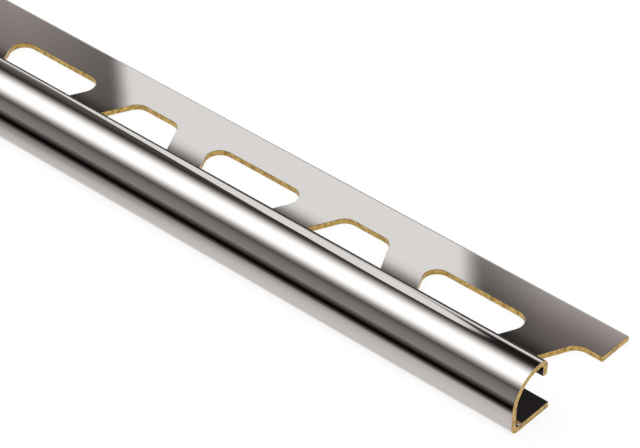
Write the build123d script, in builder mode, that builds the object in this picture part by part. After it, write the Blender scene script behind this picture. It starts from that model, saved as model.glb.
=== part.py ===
"""Quarter-round tile edge trim: one strip of brass, rolled to section, punched and chrome-plated.

Millimetres. X runs along the strip, Y from the rounded nose (front) to the free edge of the
anchoring leg (back), Z up. The leg lies flat on Z = 0 and the origin is the middle of its underside
rectangle, so the strip is centred in X and Y.
"""

import math
import os

from build123d import *

# Stock
strip_length = 1000.0
sheet_thickness = 1.0

# Section: height of the finished tile edge, reach of the leg and the bends of the nose
trim_height = 10.0
overall_width = 27.8
crown_radius = 5.7
crown_flat = 0.6
lip_drop = 3.1
inside_bend_radius = 0.5
rolled_edge_radius = 0.2

# Punching: alternate trapezoids, one with its long side to the back and the next to the front
perforation_pitch = 44.8
perforation_long_side = 21.4
perforation_depth = 12.8
perforation_side_angle = 63.9
perforation_corner_radius = 2.4
nose_to_perforation = 0.75

# Sizes and places that follow from the ones above
outside_bend_radius = inside_bend_radius + sheet_thickness
crown_inner_radius = crown_radius - sheet_thickness
nose_depth = crown_radius + crown_flat + outside_bend_radius
front_y = -overall_width / 2
back_y = front_y + overall_width
lip_back_y = front_y + nose_depth
front_wall_inner_y = front_y + sheet_thickness
lip_front_y = lip_back_y - sheet_thickness
lip_tip_z = trim_height - lip_drop
crown_inner_z = trim_height - sheet_thickness
perforation_front_y = lip_back_y + nose_to_perforation
perforation_middle_y = perforation_front_y + perforation_depth / 2
punched_end_x = strip_length / 2
perforation_step = perforation_pitch / 2
perforation_count = math.ceil((strip_length + perforation_long_side / 2) / perforation_step)

# Each corner of the section with the radius that its bend or edge has, once round the outline
section_corners = [
    ((back_y, 0), rolled_edge_radius),
    ((front_y, 0), outside_bend_radius),
    ((front_y, trim_height), crown_radius),
    ((lip_back_y, trim_height), outside_bend_radius),
    ((lip_back_y, lip_tip_z), rolled_edge_radius),
    ((lip_front_y, lip_tip_z), rolled_edge_radius),
    ((lip_front_y, crown_inner_z), inside_bend_radius),
    ((front_wall_inner_y, crown_inner_z), crown_inner_radius),
    ((front_wall_inner_y, sheet_thickness), inside_bend_radius),
    ((back_y, sheet_thickness), rolled_edge_radius),
]


def perforation_places():
    """Where each punch falls, counted back from the end that is cut through the middle of a hole."""
    for index in range(perforation_count):
        long_side_at_back = index % 2 == 1
        turn = 180 if long_side_at_back else 0
        yield Location((punched_end_x - index * perforation_step, perforation_middle_y), turn)


with BuildPart() as edge_trim:
    # Rolled section, drawn across the strip and run along its whole length
    with BuildSketch(Plane.YZ.offset(-strip_length / 2)):
        with BuildLine():
            FilletPolyline(
                *[corner for corner, radius in section_corners],
                radius=[radius for corner, radius in section_corners],
                close=True,
            )
        make_face()
    extrude(amount=strip_length)

    # Trapezoid perforations through the leg
    with BuildSketch(Plane.XY) as punches:
        with Locations(*perforation_places()):
            Trapezoid(perforation_long_side, perforation_depth, perforation_side_angle)
        fillet(punches.vertices(), perforation_corner_radius)
    extrude(amount=sheet_thickness, mode=Mode.SUBTRACT)

edge_trim.part.label = "edge_trim"

os.makedirs("parts", exist_ok=True)
export_step(edge_trim.part, "parts/edge_trim.step")
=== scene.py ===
"""Dresses the quarter-round tile edge trim: chrome-plated brass strip with bare punched and sawn edges.

Metres, in the trim's own frame: X along the strip, Y from the rounded nose to the free edge of the leg,
Z up. The leg lies on Z = 0.
"""

import math

import bpy
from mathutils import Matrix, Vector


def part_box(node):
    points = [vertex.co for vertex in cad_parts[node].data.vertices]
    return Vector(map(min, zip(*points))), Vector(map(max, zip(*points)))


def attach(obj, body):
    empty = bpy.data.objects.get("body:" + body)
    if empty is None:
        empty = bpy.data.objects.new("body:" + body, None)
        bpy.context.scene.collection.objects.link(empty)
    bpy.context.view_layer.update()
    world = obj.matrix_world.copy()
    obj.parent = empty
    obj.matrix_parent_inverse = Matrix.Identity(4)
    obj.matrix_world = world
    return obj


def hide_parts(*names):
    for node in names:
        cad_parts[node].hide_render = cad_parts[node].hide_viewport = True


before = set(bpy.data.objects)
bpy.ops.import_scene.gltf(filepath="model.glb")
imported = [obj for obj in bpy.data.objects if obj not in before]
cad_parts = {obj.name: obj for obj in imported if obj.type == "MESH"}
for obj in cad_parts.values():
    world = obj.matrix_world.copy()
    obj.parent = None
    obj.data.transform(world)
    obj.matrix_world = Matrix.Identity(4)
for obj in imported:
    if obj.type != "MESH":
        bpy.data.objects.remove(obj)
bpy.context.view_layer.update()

mm = 0.001

# Outside sizes of the strip, from the frame
low_corner, high_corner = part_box("edge_trim")
strip_length = high_corner.x - low_corner.x
front_y = low_corner.y
back_y = high_corner.y
trim_height = high_corner.z

# Section of the rolled sheet. The free edge of the leg is rounder on top than the other edges, and a short
# straight keeps the bends of the crown and of the arch apart
sheet_thickness = 1.0 * mm
crown_radius = 5.7 * mm
crown_flat = 0.6 * mm
crown_end_slope = math.radians(4.4)
lip_arch_radius = 9.0 * mm
lip_end_slope = math.radians(2.4)
arch_gap = 0.01 * mm
lip_drop = 3.1 * mm
inside_bend_radius = 0.5 * mm
outside_bend_radius = inside_bend_radius + sheet_thickness
rolled_edge_radius = 0.2 * mm
leg_edge_radius = 0.4 * mm
lip_back_y = front_y + crown_radius + crown_flat + outside_bend_radius
crown_steps = 64
arch_steps = 12
bend_steps = 24
edge_steps = 8

# Punching
perforation_pitch = 44.8 * mm
perforation_long_side = 21.4 * mm
perforation_depth = 12.8 * mm
perforation_side_angle = math.radians(63.9)
perforation_corner_radius = 2.4 * mm
nose_to_perforation = 0.75 * mm
perforation_front_y = lip_back_y + nose_to_perforation
perforation_middle_y = perforation_front_y + perforation_depth / 2
perforation_short_side = perforation_long_side - 2 * perforation_depth / math.tan(perforation_side_angle)
perforation_step = perforation_pitch / 2
perforation_count = math.ceil((strip_length + perforation_long_side / 2) / perforation_step)
perforation_corner_steps = 12

# Cut edges, which are just broken, how near points are welded and how near the end a face belongs to it
cut_edge_round = 0.06 * mm
cut_edge_angle = math.radians(40)
weld_distance = 0.001 * mm
end_reach = 0.01 * mm

# Camera of the photograph: the picture is 640 by 448 and its middle is the lens axis
camera_azimuth = math.radians(41.518)
camera_elevation = math.radians(38.753)
camera_place = (672.9 * mm, -249.9 * mm, 272.5 * mm)
camera_lens_mm = 158.4

# Studio: the brightness of white cloth and the size of the tunnel of cloth round the trim
tent_white = 1.7
tent_radius = 2.0
tent_half_length = 4.0


def linear(hex_colour):
    """sRGB hex to the linear colour that a shader socket takes."""
    channels = [int(hex_colour[i:i + 2], 16) / 255 for i in (1, 3, 5)]
    return [c / 12.92 if c <= 0.04045 else ((c + 0.055) / 1.055) ** 2.4 for c in channels] + [1.0]


def add_node(tree, kind, inputs=None, **settings):
    """Adds one node. An input given as a socket is linked, and any other value is set on the socket."""
    made = tree.nodes.new(kind)
    for name, value in settings.items():
        setattr(made, name, value)
    for key, value in (inputs or {}).items():
        if isinstance(value, bpy.types.NodeSocket):
            tree.links.new(value, made.inputs[key])
        else:
            made.inputs[key].default_value = value
    return made


def new_material(name):
    """An empty node material and its tree."""
    material = bpy.data.materials.new(name)
    material.use_nodes = True
    material.node_tree.nodes.clear()
    return material, material.node_tree


def set_stops(ramp_node, stops):
    """Fills a colour ramp with cloth of some brightness: white cloth is a little cool and dim cloth warm."""
    dim_warmth = 0.11
    white_coolness = 0.05
    blue_part = 0.4
    elements = ramp_node.color_ramp.elements
    while len(elements) < len(stops):
        elements.new(1.0)
    for element, (place, level) in zip(elements, stops):
        warmth = dim_warmth - (dim_warmth + white_coolness) * level
        element.position = place
        element.color = (level * (1 + warmth), level, level * (1 - blue_part * warmth), 1.0)


def bright_chrome_plate():
    """Chrome plated on polished brass sheet: a warm grey mirror. The rolling leaves faint lines along the
    strip, which the eye sees as a slight change of gloss from line to line."""
    material, tree = new_material("bright_chrome_plate")
    place = add_node(tree, "ShaderNodeTexCoord").outputs["Object"]
    rolling_line_width = 0.5 * mm
    rolling_line_length = 60 * mm
    stretched = add_node(tree, "ShaderNodeMapping", {
        "Vector": place,
        "Scale": (1 / rolling_line_length, 1 / rolling_line_width, 1 / rolling_line_width),
    })
    lines = add_node(tree, "ShaderNodeTexNoise", {
        "Vector": stretched.outputs["Vector"], "Scale": 1.0, "Detail": 3.0, "Roughness": 0.6,
    })
    gloss = add_node(tree, "ShaderNodeMapRange", {
        "Value": lines.outputs["Fac"], "From Min": 0.3, "From Max": 0.7, "To Min": 0.03, "To Max": 0.045,
    })
    surface = add_node(tree, "ShaderNodeBsdfPrincipled", {
        "Base Color": linear("#D6D2CF"), "Metallic": 1.0, "Roughness": gloss.outputs["Result"],
    })
    add_node(tree, "ShaderNodeOutputMaterial", {"Surface": surface.outputs["BSDF"]})
    return material


def bare_brass(tree, place, marks, dullness):
    """Finishes a material as bare yellow brass. The tone drifts a little from patch to patch and from mark to
    mark, and the marks roughen the surface, so that it glitters instead of mirroring."""
    patch_size = 0.7 * mm
    marks_share = 0.45
    relief_depth = 0.02 * mm
    patches = add_node(tree, "ShaderNodeTexNoise", {
        "Vector": place, "Scale": 1 / patch_size, "Detail": 3.0, "Roughness": 0.6,
    })
    both = add_node(tree, "ShaderNodeMix", {
        0: marks_share, 2: patches.outputs["Fac"], 3: marks,
    }, data_type="FLOAT")
    tone = add_node(tree, "ShaderNodeValToRGB", {"Fac": both.outputs[0]})
    tone.color_ramp.elements[0].position = 0.38
    tone.color_ramp.elements[0].color = linear("#8A6B33")
    tone.color_ramp.elements[1].position = 0.62
    tone.color_ramp.elements[1].color = linear("#D6B56E")
    relief = add_node(tree, "ShaderNodeBump", {"Height": marks, "Strength": 0.6, "Distance": relief_depth})
    surface = add_node(tree, "ShaderNodeBsdfPrincipled", {
        "Base Color": tone.outputs["Color"],
        "Metallic": 1.0,
        "Roughness": dullness,
        "Normal": relief.outputs["Normal"],
    })
    add_node(tree, "ShaderNodeOutputMaterial", {"Surface": surface.outputs["BSDF"]})


def sheared_brass():
    """Walls of the holes. The punch rubs the upper third of the sheet smooth and tears the rest, so the eye
    sees a bright band with fine upright lines over a duller, grained one. The lines are drawn a little
    coarser than real ones so that they show."""
    material, tree = new_material("sheared_brass")
    place = add_node(tree, "ShaderNodeTexCoord").outputs["Object"]
    line_width = 0.12 * mm
    line_length = 4 * mm
    grain_size = 0.25 * mm
    wander_length = 2.5 * mm
    border_softness = 0.04 * mm
    upright = add_node(tree, "ShaderNodeMapping", {
        "Vector": place, "Scale": (1 / line_width, 1 / line_width, 1 / line_length),
    })
    lines = add_node(tree, "ShaderNodeTexNoise", {
        "Vector": upright.outputs["Vector"], "Scale": 1.0, "Detail": 2.0, "Roughness": 0.5,
    })
    grain = add_node(tree, "ShaderNodeTexNoise", {
        "Vector": place, "Scale": 1 / grain_size, "Detail": 4.0, "Roughness": 0.65,
    })

    # The border between the two bands wanders up and down along the wall
    wander = add_node(tree, "ShaderNodeTexNoise", {
        "Vector": place, "Scale": 1 / wander_length, "Detail": 2.0, "Roughness": 0.5,
    })
    border = add_node(tree, "ShaderNodeMapRange", {
        "Value": wander.outputs["Fac"],
        "From Min": 0.3,
        "From Max": 0.7,
        "To Min": 0.5 * sheet_thickness,
        "To Max": 0.8 * sheet_thickness,
    })
    height = add_node(tree, "ShaderNodeSeparateXYZ", {"Vector": place}).outputs["Z"]
    below = add_node(tree, "ShaderNodeMath", {0: border.outputs["Result"], 1: height}, operation="SUBTRACT")
    torn = add_node(tree, "ShaderNodeMapRange", {
        "Value": below.outputs["Value"], "From Min": -border_softness, "From Max": border_softness,
    }).outputs["Result"]
    marks = add_node(tree, "ShaderNodeMix", {
        0: torn, 2: lines.outputs["Fac"], 3: grain.outputs["Fac"],
    }, data_type="FLOAT")
    dullness = add_node(tree, "ShaderNodeMapRange", {"Value": torn, "To Min": 0.3, "To Max": 0.45})
    bare_brass(tree, place, marks.outputs[0], dullness.outputs["Result"])
    return material


def sawn_brass():
    """Ends of the strip, cut with a fine saw: straight scratches from front to back, which catch the light
    one by one. They are drawn twice as coarse as a real blade's so that they show."""
    material, tree = new_material("sawn_brass")
    place = add_node(tree, "ShaderNodeTexCoord").outputs["Object"]
    scratch_width = 0.12 * mm
    scratch_length = 3 * mm
    stretched = add_node(tree, "ShaderNodeMapping", {
        "Vector": place, "Scale": (1 / scratch_length, 1 / scratch_length, 1 / scratch_width),
    })
    scratches = add_node(tree, "ShaderNodeTexNoise", {
        "Vector": stretched.outputs["Vector"], "Scale": 1.0, "Detail": 4.0, "Roughness": 0.6,
    })
    dullness = add_node(tree, "ShaderNodeMapRange", {
        "Value": scratches.outputs["Fac"], "From Min": 0.3, "From Max": 0.7, "To Min": 0.45, "To Max": 0.3,
    })
    bare_brass(tree, place, scratches.outputs["Fac"], dullness.outputs["Result"])
    return material


def section_outline():
    """The corners of the section in its own plane, each with the radius of its bend or edge. The crown runs
    out a little before the top, and a flatter arch takes the sheet over it and down to the lip's bend."""
    lip_front_y = lip_back_y - sheet_thickness
    lip_tip_z = trim_height - lip_drop
    crown_inner_z = trim_height - sheet_thickness
    wall_inner_y = front_y + sheet_thickness
    crown_end_y = front_y + crown_radius * (1 - math.sin(crown_end_slope))
    crown_end_z = trim_height - crown_radius * (1 - math.cos(crown_end_slope))
    arch_reach = lip_arch_radius * math.tan((crown_end_slope + lip_end_slope) / 2) + arch_gap
    arch_y = crown_end_y + arch_reach * math.cos(crown_end_slope)
    arch_z = crown_end_z + arch_reach * math.sin(crown_end_slope)
    crown_corner_z = arch_z - (arch_y - front_y) * math.tan(crown_end_slope)
    lip_corner_z = arch_z - (lip_back_y - arch_y) * math.tan(lip_end_slope)
    corners = [
        ((back_y, 0), rolled_edge_radius, edge_steps),
        ((front_y, 0), outside_bend_radius, bend_steps),
        ((front_y, crown_corner_z), crown_radius, crown_steps),
        ((arch_y, arch_z), lip_arch_radius, arch_steps),
        ((lip_back_y, lip_corner_z), outside_bend_radius, bend_steps),
        ((lip_back_y, lip_tip_z), rolled_edge_radius, edge_steps),
        ((lip_front_y, lip_tip_z), rolled_edge_radius, edge_steps),
        ((lip_front_y, crown_inner_z), inside_bend_radius, bend_steps),
        ((wall_inner_y, crown_inner_z), crown_radius - sheet_thickness, crown_steps),
        ((wall_inner_y, sheet_thickness), inside_bend_radius, bend_steps),
        ((back_y, sheet_thickness), leg_edge_radius, edge_steps),
    ]
    mesh = bpy.data.meshes.new("section_outline")
    count = len(corners)
    edges = [(i, (i + 1) % count) for i in range(count)]
    mesh.from_pydata([(y, z, 0) for (y, z), radius, steps in corners], edges, [])
    radii = mesh.attributes.new("bend_radius", "FLOAT", "POINT")
    radii.data.foreach_set("value", [radius for corner, radius, steps in corners])
    counts = mesh.attributes.new("bend_steps", "INT", "POINT")
    counts.data.foreach_set("value", [steps for corner, radius, steps in corners])
    return mesh


def closed_prism(tree, curve, offset, offset_scale):
    """Nodes that fill a flat closed curve and run the face along a line into a closed solid."""
    face = add_node(tree, "GeometryNodeFillCurve", {"Curve": curve}, mode="NGONS")
    run = add_node(tree, "GeometryNodeExtrudeMesh", {
        "Mesh": face.outputs["Mesh"], "Offset": offset, "Offset Scale": offset_scale, "Individual": False,
    }, mode="FACES")
    start = add_node(tree, "GeometryNodeFlipFaces", {"Mesh": face.outputs["Mesh"]})
    both = add_node(tree, "GeometryNodeJoinGeometry")
    tree.links.new(run.outputs["Mesh"], both.inputs["Geometry"])
    tree.links.new(start.outputs["Mesh"], both.inputs["Geometry"])
    return add_node(tree, "GeometryNodeMergeByDistance", {
        "Geometry": both.outputs["Geometry"], "Distance": weld_distance,
    }).outputs["Geometry"]


def punched_strip_tree(plate, sheared, sawn):
    """Geometry nodes of the trim: bends the section, rolls it out along X and punches the leg."""
    tree = bpy.data.node_groups.new("punched_strip", "GeometryNodeTree")
    sizes = {
        "Strip Length": strip_length,
        "Sheet Thickness": sheet_thickness,
        "Perforation Step": perforation_step,
        "Perforation Long Side": perforation_long_side,
        "Perforation Short Side": perforation_short_side,
        "Perforation Depth": perforation_depth,
        "Perforation Corner Radius": perforation_corner_radius,
        "Perforation Middle Y": perforation_middle_y,
    }
    tree.interface.new_socket("Section", in_out="INPUT", socket_type="NodeSocketGeometry")
    values = {}
    for name, value in sizes.items():
        socket = tree.interface.new_socket(name, in_out="INPUT", socket_type="NodeSocketFloat")
        values[socket.identifier] = value
    socket = tree.interface.new_socket("Perforation Count", in_out="INPUT", socket_type="NodeSocketInt")
    values[socket.identifier] = perforation_count
    tree.interface.new_socket("Strip", in_out="OUTPUT", socket_type="NodeSocketGeometry")
    size = add_node(tree, "NodeGroupInput").outputs

    # The section, bent at every corner and stood across the strip
    outline = add_node(tree, "GeometryNodeMeshToCurve", {"Mesh": size["Section"]})
    radius = add_node(tree, "GeometryNodeInputNamedAttribute", {"Name": "bend_radius"}, data_type="FLOAT")
    steps = add_node(tree, "GeometryNodeInputNamedAttribute", {"Name": "bend_steps"}, data_type="INT")
    bent = add_node(tree, "GeometryNodeFilletCurve", {
        "Curve": outline.outputs["Curve"],
        "Count": steps.outputs["Attribute"],
        "Radius": radius.outputs["Attribute"],
        "Limit Radius": True,
    }, mode="POLY")
    rolled = closed_prism(tree, bent.outputs["Curve"], (0, 0, 1), size["Strip Length"])
    half_back = add_node(tree, "ShaderNodeMath", {0: size["Strip Length"], 1: -0.5}, operation="MULTIPLY")
    start = add_node(tree, "ShaderNodeCombineXYZ", {"X": half_back.outputs["Value"]})
    strip = add_node(tree, "GeometryNodeTransform", {
        "Geometry": rolled, "Translation": start.outputs["Vector"], "Rotation": (math.pi / 2, 0, math.pi / 2),
    })

    # The punch: a trapezoid with rounded corners, longer than the sheet is thick
    trapezoid = add_node(tree, "GeometryNodeCurvePrimitiveQuadrilateral", {
        "Height": size["Perforation Depth"],
        "Bottom Width": size["Perforation Long Side"],
        "Top Width": size["Perforation Short Side"],
        "Offset": 0.0,
    }, mode="TRAPEZOID")
    rounded = add_node(tree, "GeometryNodeFilletCurve", {
        "Curve": trapezoid.outputs["Curve"],
        "Count": perforation_corner_steps,
        "Radius": size["Perforation Corner Radius"],
        "Limit Radius": True,
    }, mode="POLY")
    punch_length = add_node(tree, "ShaderNodeMath", {
        0: size["Sheet Thickness"], 1: 2.0,
    }, operation="MULTIPLY")
    punch = closed_prism(tree, rounded.outputs["Curve"], (0, 0, 1), punch_length.outputs["Value"])
    under = add_node(tree, "ShaderNodeMath", {0: size["Sheet Thickness"], 1: -0.5}, operation="MULTIPLY")
    under_place = add_node(tree, "ShaderNodeCombineXYZ", {"Z": under.outputs["Value"]})
    lowered = add_node(tree, "GeometryNodeTransform", {
        "Geometry": punch, "Translation": under_place.outputs["Vector"],
    })
    marked_punch = add_node(tree, "GeometryNodeStoreNamedAttribute", {
        "Geometry": lowered.outputs["Geometry"], "Name": "punched", "Value": True,
    }, data_type="BOOLEAN", domain="FACE")

    # One punch every step from the end that is cut through a hole, every other one turned round
    first_x = add_node(tree, "ShaderNodeMath", {0: size["Strip Length"], 1: 0.5}, operation="MULTIPLY")
    first = add_node(tree, "ShaderNodeCombineXYZ", {
        "X": first_x.outputs["Value"], "Y": size["Perforation Middle Y"],
    })
    back_step = add_node(tree, "ShaderNodeMath", {0: size["Perforation Step"], 1: -1.0}, operation="MULTIPLY")
    step = add_node(tree, "ShaderNodeCombineXYZ", {"X": back_step.outputs["Value"]})
    row = add_node(tree, "GeometryNodeMeshLine", {
        "Count": size["Perforation Count"],
        "Start Location": first.outputs["Vector"],
        "Offset": step.outputs["Vector"],
    }, mode="OFFSET")
    number = add_node(tree, "GeometryNodeInputIndex")
    odd = add_node(tree, "ShaderNodeMath", {0: number.outputs["Index"], 1: 2.0}, operation="MODULO")
    turn = add_node(tree, "ShaderNodeMath", {0: odd.outputs["Value"], 1: math.pi}, operation="MULTIPLY")
    turned = add_node(tree, "ShaderNodeCombineXYZ", {"Z": turn.outputs["Value"]})
    punches = add_node(tree, "GeometryNodeInstanceOnPoints", {
        "Points": row.outputs["Mesh"],
        "Instance": marked_punch.outputs["Geometry"],
        "Rotation": turned.outputs["Vector"],
    })
    real_punches = add_node(tree, "GeometryNodeRealizeInstances", {"Geometry": punches.outputs["Instances"]})
    punched = add_node(tree, "GeometryNodeMeshBoolean", {
        "Mesh 1": strip.outputs["Geometry"], "Mesh 2": real_punches.outputs["Geometry"],
    }, operation="DIFFERENCE", solver="EXACT")
    smooth = add_node(tree, "GeometryNodeSetShadeSmooth", {
        "Geometry": punched.outputs["Mesh"], "Shade Smooth": True,
    })

    # The plate covers the rolled sheet, and the punched walls and the sawn ends show bare brass
    real = add_node(tree, "GeometryNodeRealizeInstances", {"Geometry": smooth.outputs["Geometry"]})
    plated = add_node(tree, "GeometryNodeSetMaterial", {
        "Geometry": real.outputs["Geometry"], "Material": plate,
    })
    wall = add_node(tree, "GeometryNodeInputNamedAttribute", {"Name": "punched"}, data_type="BOOLEAN")
    walled = add_node(tree, "GeometryNodeSetMaterial", {
        "Geometry": plated.outputs["Geometry"], "Selection": wall.outputs["Attribute"], "Material": sheared,
    })
    face_place = add_node(tree, "GeometryNodeInputPosition")
    face_x = add_node(tree, "ShaderNodeSeparateXYZ", {"Vector": face_place.outputs["Position"]})
    from_middle = add_node(tree, "ShaderNodeMath", {0: face_x.outputs["X"]}, operation="ABSOLUTE")
    almost_end = add_node(tree, "ShaderNodeMath", {
        0: first_x.outputs["Value"], 1: end_reach,
    }, operation="SUBTRACT")
    at_end = add_node(tree, "ShaderNodeMath", {
        0: from_middle.outputs["Value"], 1: almost_end.outputs["Value"],
    }, operation="GREATER_THAN")
    ended = add_node(tree, "GeometryNodeSetMaterial", {
        "Geometry": walled.outputs["Geometry"], "Selection": at_end.outputs["Value"], "Material": sawn,
    })
    add_node(tree, "NodeGroupOutput", {"Strip": ended.outputs["Geometry"]})
    return tree, values


def edge_trim_piece():
    """The whole trim as one plain mesh, with its cut edges just broken."""
    tree, values = punched_strip_tree(bright_chrome_plate(), sheared_brass(), sawn_brass())
    rough = bpy.data.objects.new("rough_strip", section_outline())
    bpy.context.scene.collection.objects.link(rough)
    rolling = rough.modifiers.new("rolling_and_punching", "NODES")
    rolling.node_group = tree
    for identifier, value in values.items():
        rolling[identifier] = value
    broken = rough.modifiers.new("broken_edges", "BEVEL")
    broken.width = cut_edge_round
    broken.segments = 2
    broken.limit_method = "ANGLE"
    broken.angle_limit = cut_edge_angle
    broken.use_clamp_overlap = False
    flat = rough.modifiers.new("flat_faces_stay_flat", "WEIGHTED_NORMAL")
    flat.mode = "FACE_AREA"
    flat.weight = 100
    mesh = bpy.data.meshes.new_from_object(rough.evaluated_get(bpy.context.evaluated_depsgraph_get()))
    bpy.data.objects.remove(rough)
    mesh.name = "punched_trim_strip"
    piece = bpy.data.objects.new("punched_trim_strip", mesh)
    bpy.context.scene.collection.objects.link(piece)
    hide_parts("edge_trim")
    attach(piece, "root")
    return piece


def seen_only_in_reflections(card):
    """A studio card that the metal mirrors, and that neither the camera nor the floor's light sees."""
    card.visible_camera = False
    card.visible_diffuse = False
    card.visible_shadow = False


def strip_surface(name, points, half_length):
    """A sheet that follows points in the YZ plane and runs along X from minus to plus half its length."""
    mesh = bpy.data.meshes.new(name)
    places = [(x, y, z) for y, z in points for x in (-half_length, half_length)]
    faces = [(2 * i, 2 * i + 1, 2 * i + 3, 2 * i + 2) for i in range(len(points) - 1)]
    mesh.from_pydata(places, [], faces)
    card = bpy.data.objects.new(name, mesh)
    bpy.context.scene.collection.objects.link(card)
    return card


def angle_share(tree, opposite, adjacent, whole):
    """An angle, given by two sides of its triangle, as a share of a whole one."""
    angle = add_node(tree, "ShaderNodeMath", {0: opposite, 1: adjacent}, operation="ARCTAN2")
    share = add_node(tree, "ShaderNodeMath", {0: angle.outputs["Value"], 1: whole}, operation="DIVIDE")
    return share.outputs["Value"]


def glowing(name, ramp_input, stops):
    """The material of a card, whose brightness follows one number along a ramp."""
    material, tree = new_material(name)
    place = add_node(tree, "ShaderNodeTexCoord").outputs["Object"]
    axes = add_node(tree, "ShaderNodeSeparateXYZ", {"Vector": place}).outputs
    ramp = add_node(tree, "ShaderNodeValToRGB", {"Fac": ramp_input(tree, axes)})
    set_stops(ramp, stops)
    glow = add_node(tree, "ShaderNodeEmission", {"Color": ramp.outputs["Color"], "Strength": tent_white})
    add_node(tree, "ShaderNodeOutputMaterial", {"Surface": glow.outputs["Emission"]})
    return material


def soft_cloth(name, colour):
    """Cloth whose brightness and cover are given at each corner of its card, so that its edges fade out. It
    is white where it is bright and takes on the given colour where it is dim."""
    material, tree = new_material(name)
    level = add_node(tree, "ShaderNodeAttribute", attribute_name="level")
    cover = add_node(tree, "ShaderNodeAttribute", attribute_name="cover")
    strength = add_node(tree, "ShaderNodeMath", {
        0: level.outputs["Fac"], 1: tent_white,
    }, operation="MULTIPLY")
    bright = add_node(tree, "ShaderNodeMath", {
        0: strength.outputs["Value"], 1: cover.outputs["Fac"],
    }, operation="MULTIPLY")
    tint = add_node(tree, "ShaderNodeMix", {
        0: bright.outputs["Value"], 6: linear(colour), 7: linear("#FFFFFF"),
    }, data_type="RGBA")
    glow = add_node(tree, "ShaderNodeEmission", {
        "Color": tint.outputs[2], "Strength": strength.outputs["Value"],
    })
    clear = add_node(tree, "ShaderNodeBsdfTransparent")
    cloth = add_node(tree, "ShaderNodeMixShader", {
        0: cover.outputs["Fac"], 1: clear.outputs["BSDF"], 2: glow.outputs["Emission"],
    })
    add_node(tree, "ShaderNodeOutputMaterial", {"Surface": cloth.outputs["Shader"]})
    return material


def soft_card(name, colour, corners, faces):
    """A card from corners, each a place with its brightness and cover."""
    mesh = bpy.data.meshes.new(name)
    mesh.from_pydata([place for place, level, cover in corners], [], faces)
    levels = mesh.attributes.new("level", "FLOAT", "POINT")
    levels.data.foreach_set("value", [level for place, level, cover in corners])
    covers = mesh.attributes.new("cover", "FLOAT", "POINT")
    covers.data.foreach_set("value", [cover for place, level, cover in corners])
    mesh.materials.append(soft_cloth(name + "_cloth", colour))
    card = bpy.data.objects.new(name, mesh)
    bpy.context.scene.collection.objects.link(card)
    seen_only_in_reflections(card)


def light_tent():
    """A long tunnel of cloth over the trim: grey in front, white overhead, black behind."""
    steps = 48
    arc = [math.pi * i / steps for i in range(steps + 1)]
    points = [(-tent_radius * math.cos(a), tent_radius * math.sin(a)) for a in arc]
    tent = strip_surface("light_tent", points, tent_half_length)

    def height_share(tree, axes):
        front = add_node(tree, "ShaderNodeMath", {0: axes["Y"], 1: -1.0}, operation="MULTIPLY")
        return angle_share(tree, axes["Z"], front.outputs["Value"], math.pi)

    # Degrees up from the front horizon, and brightness
    degrees = [(0, 0.165), (13, 0.147), (22, 0.12), (33, 0.058), (42, 0.255), (52, 0.69), (61, 1.0),
               (82, 0.97), (92, 0.7), (102, 0.31), (111, 0.066), (117, 0.02), (124, 0.012), (180, 0.012)]
    stops = [(d / 180, level) for d, level in degrees]
    tent.data.materials.append(glowing("tent_cloth", height_share, stops))
    seen_only_in_reflections(tent)


def soft_box():
    """A tall lamp box behind the trim with a black rim, which the flat leg and the lip mirror."""
    box_y = 0.8
    # Outline of the lit cloth as X and Z, and which way is out at each corner
    outline = [(-0.432, 0.27, -1, 0), (-0.432, 0.95, -1, 0), (-0.455, 1.20, -1, 0), (-0.465, 1.45, -1, 1),
               (-0.380, 1.45, 1, 1), (-0.287, 1.276, 1, 0.5), (-0.176, 1.022, 1, 0.4), (-0.134, 0.85, 1, 0),
               (-0.134, 0.27, 1, 0)]
    # How far out of the outline each ring lies, with its brightness and cover
    rings = [(-0.007, 0.6, 1.0), (0.009, 0.0, 0.55), (0.10, 0.0, 0.0)]
    corners = [((x + out_x * away, box_y, z + out_z * away), level, cover)
               for away, level, cover in rings for x, z, out_x, out_z in outline]
    count = len(outline)
    faces = [tuple(range(count))]
    for ring in range(len(rings) - 1):
        for i in range(count - 1):
            inner = ring * count + i
            faces.append((inner, inner + 1, inner + 1 + count, inner + count))
    soft_card("soft_box", "#FFFFFF", corners, faces)


def low_band():
    """A band of white cloth low behind the trim, with a soft top edge. It draws the bright line along the
    back of the lip and lightens the leg towards its free edge."""
    band_y = 0.802
    cover_by_row = [0.0, 1.0, 1.0, 0.45, 0.22, 0.0]
    left_heights = [0.46, 0.62, 0.74, 0.85, 0.93, 1.55]
    right_heights = [0.25, 0.45, 0.771, 0.817, 0.838, 0.880]
    end_heights = [0.25, 0.45, 0.765, 0.811, 0.832, 0.874]
    # X of each upright line of corners, its brightness and the heights of its rows
    lines = [(-tent_half_length, 0.35, left_heights), (-0.43, 0.35, left_heights),
             (-0.13, 0.63, right_heights), (-0.075, 0.66, right_heights),
             (-0.04, 0.62, end_heights), (tent_half_length, 0.62, end_heights)]
    corners = [((x, band_y, z), level, cover)
               for x, level, heights in lines for z, cover in zip(heights, cover_by_row)]
    rows = len(cover_by_row)
    faces = []
    for line in range(len(lines) - 1):
        for row in range(rows - 1):
            first = line * rows + row
            faces.append((first, first + 1, first + 1 + rows, first + rows))
    soft_card("low_band", "#FFEEE7", corners, faces)


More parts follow.
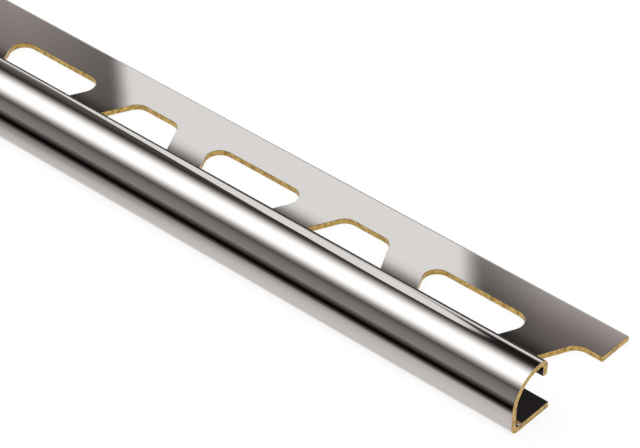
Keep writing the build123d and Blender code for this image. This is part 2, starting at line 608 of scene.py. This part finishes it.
def painted_shade_flag():
    """A black cloth low behind the lip, clear at its back edge, which only the metal mirrors. It paints shade
    into the leg next to the nose and into the hollow of the nose, which look almost black; it casts no
    shadow."""
    flag_z = 8 * mm
    flag_level = 0.012
    # Y of each line of corners and its cover
    lines = [(lip_back_y + 0.3 * mm, 0.9), (7.3 * mm, 0.9), (8.4 * mm, 0.73), (10.2 * mm, 0.15),
             (11.5 * mm, 0.0)]
    corners = [((x, y, flag_z), flag_level, cover)
               for y, cover in lines for x in (-strip_length / 2, strip_length / 2)]
    faces = [(2 * i, 2 * i + 1, 2 * i + 3, 2 * i + 2) for i in range(len(lines) - 1)]
    soft_card("painted_shade_flag", "#FFF4F0", corners, faces)


def floor_runner():
    """A cloth on the floor in front of the nose, laid a little slanting. It is dark close by, which gives the
    chrome its black line."""
    near = 0.3 * mm
    lift = 0.1 * mm
    runner = strip_surface("floor_runner", [(-tent_radius, lift), (front_y - near, lift)], tent_half_length)

    # Towards the sawn end the pattern moves 1.3 mm away from the nose
    def distance_share(tree, axes):
        away = add_node(tree, "ShaderNodeMath", {0: front_y, 1: axes["Y"]}, operation="SUBTRACT")
        slant = add_node(tree, "ShaderNodeMapRange", {
            "Value": axes["X"], "From Min": 0.40, "From Max": 0.49, "To Min": 0.3 * mm, "To Max": -1.0 * mm,
        })
        slanted = add_node(tree, "ShaderNodeMath", {0: away.outputs["Value"], 1: slant.outputs["Result"]})
        return angle_share(tree, slanted.outputs["Value"], trim_height, math.pi / 2)

    # Distance from the nose in millimetres, and brightness
    places = [(1.2, 0.45), (2.4, 0.385), (3.4, 0.215), (4.6, 0.078), (6, 0.022), (8, 0.002), (11, 0.001),
              (18, 0.024), (44, 0.10), (120, 0.18)]
    stops = [(math.atan2(d * mm, trim_height) / (math.pi / 2), level) for d, level in places]
    runner.data.materials.append(glowing("runner_cloth", distance_share, stops))
    seen_only_in_reflections(runner)


def back_runner():
    """A black cloth on the floor behind the leg, which draws the thin dark lines along its free edge and
    along the bend of the lip."""
    near = 0.1 * mm
    lift = 0.05 * mm
    wide = 300 * mm
    corners = [((x, y, lift), 0.0, 1.0)
               for y in (back_y + near, back_y + wide) for x in (-tent_half_length, strip_length / 2)]
    soft_card("back_runner", "#FFFFFF", corners, [(0, 1, 3, 2)])


def seen_or_mirrored(tree):
    """One for what the camera sees, straight, mirrored or through glass, and zero for what only gives
    light."""
    path = add_node(tree, "ShaderNodeLightPath").outputs
    mirrored = add_node(tree, "ShaderNodeMath", {
        0: path["Is Camera Ray"], 1: path["Is Glossy Ray"],
    }, operation="MAXIMUM")
    seen = add_node(tree, "ShaderNodeMath", {
        0: mirrored.outputs["Value"], 1: path["Is Transmission Ray"],
    }, operation="MAXIMUM")
    return seen.outputs["Value"]


def studio_floor():
    """A pale floor that the camera and the metal see as white, with the trim's soft shadow on it."""
    material, tree = new_material("white_studio_floor")
    most_white = 0.86
    white_share = add_node(tree, "ShaderNodeMath", {
        0: seen_or_mirrored(tree), 1: most_white,
    }, operation="MULTIPLY")
    paper = add_node(tree, "ShaderNodeBsdfDiffuse", {"Color": linear("#F4F4F4")})
    white = add_node(tree, "ShaderNodeEmission", {"Color": (1, 1, 1, 1), "Strength": 1.0})
    mixed = add_node(tree, "ShaderNodeMixShader", {
        0: white_share.outputs["Value"], 1: paper.outputs["BSDF"], 2: white.outputs["Emission"],
    })
    add_node(tree, "ShaderNodeOutputMaterial", {"Surface": mixed.outputs["Shader"]})
    floor_reach = 30
    floor = strip_surface("studio_floor", [(-floor_reach, 0), (floor_reach, 0)], floor_reach)
    floor.location.z = -0.05 * mm
    floor.data.materials.append(material)


def studio_light():
    """Even pale light from all round and one large soft lamp overhead."""
    world = bpy.data.worlds.new("studio_air")
    bpy.context.scene.world = world
    world.use_nodes = True
    tree = world.node_tree
    tree.nodes.clear()
    level = add_node(tree, "ShaderNodeMapRange", {
        "Value": seen_or_mirrored(tree), "To Min": 0.6, "To Max": 1.0,
    })
    air = add_node(tree, "ShaderNodeBackground", {
        "Color": (1, 1, 1, 1), "Strength": level.outputs["Result"],
    })
    add_node(tree, "ShaderNodeOutputWorld", {"Surface": air.outputs["Background"]})

    lamp_data = bpy.data.lights.new("overhead_lamp", "AREA")
    lamp_data.shape = "RECTANGLE"
    lamp_data.size = 2.4
    lamp_data.size_y = 1.2
    lamp_data.energy = 22
    lamp = bpy.data.objects.new("overhead_lamp", lamp_data)
    lamp.location = (0.2, -0.3, 1.5)
    lamp.rotation_euler = (math.radians(-11), 0, 0)
    lamp.visible_glossy = False
    lamp.visible_camera = False
    bpy.context.scene.collection.objects.link(lamp)


def photo_camera():
    """The camera at the photograph's angle and framing."""
    lens = bpy.data.cameras.new("photo_camera")
    lens.sensor_fit = "HORIZONTAL"
    lens.sensor_width = 36.0
    lens.lens = camera_lens_mm
    lens.clip_start = 0.01
    lens.clip_end = 100.0
    camera = bpy.data.objects.new("photo_camera", lens)
    camera.location = camera_place
    camera.rotation_euler = (math.pi / 2 - camera_elevation, 0, camera_azimuth)
    bpy.context.scene.collection.objects.link(camera)
    bpy.context.scene.camera = camera


bpy.context.scene.view_settings.view_transform = "Standard"
edge_trim_piece()
studio_floor()
light_tent()
soft_box()
low_band()
# Painted shade: a dark card mirrored in the leg next to the nose and in the hollow of the nose
painted_shade_flag()
floor_runner()
back_runner()
studio_light()
photo_camera()
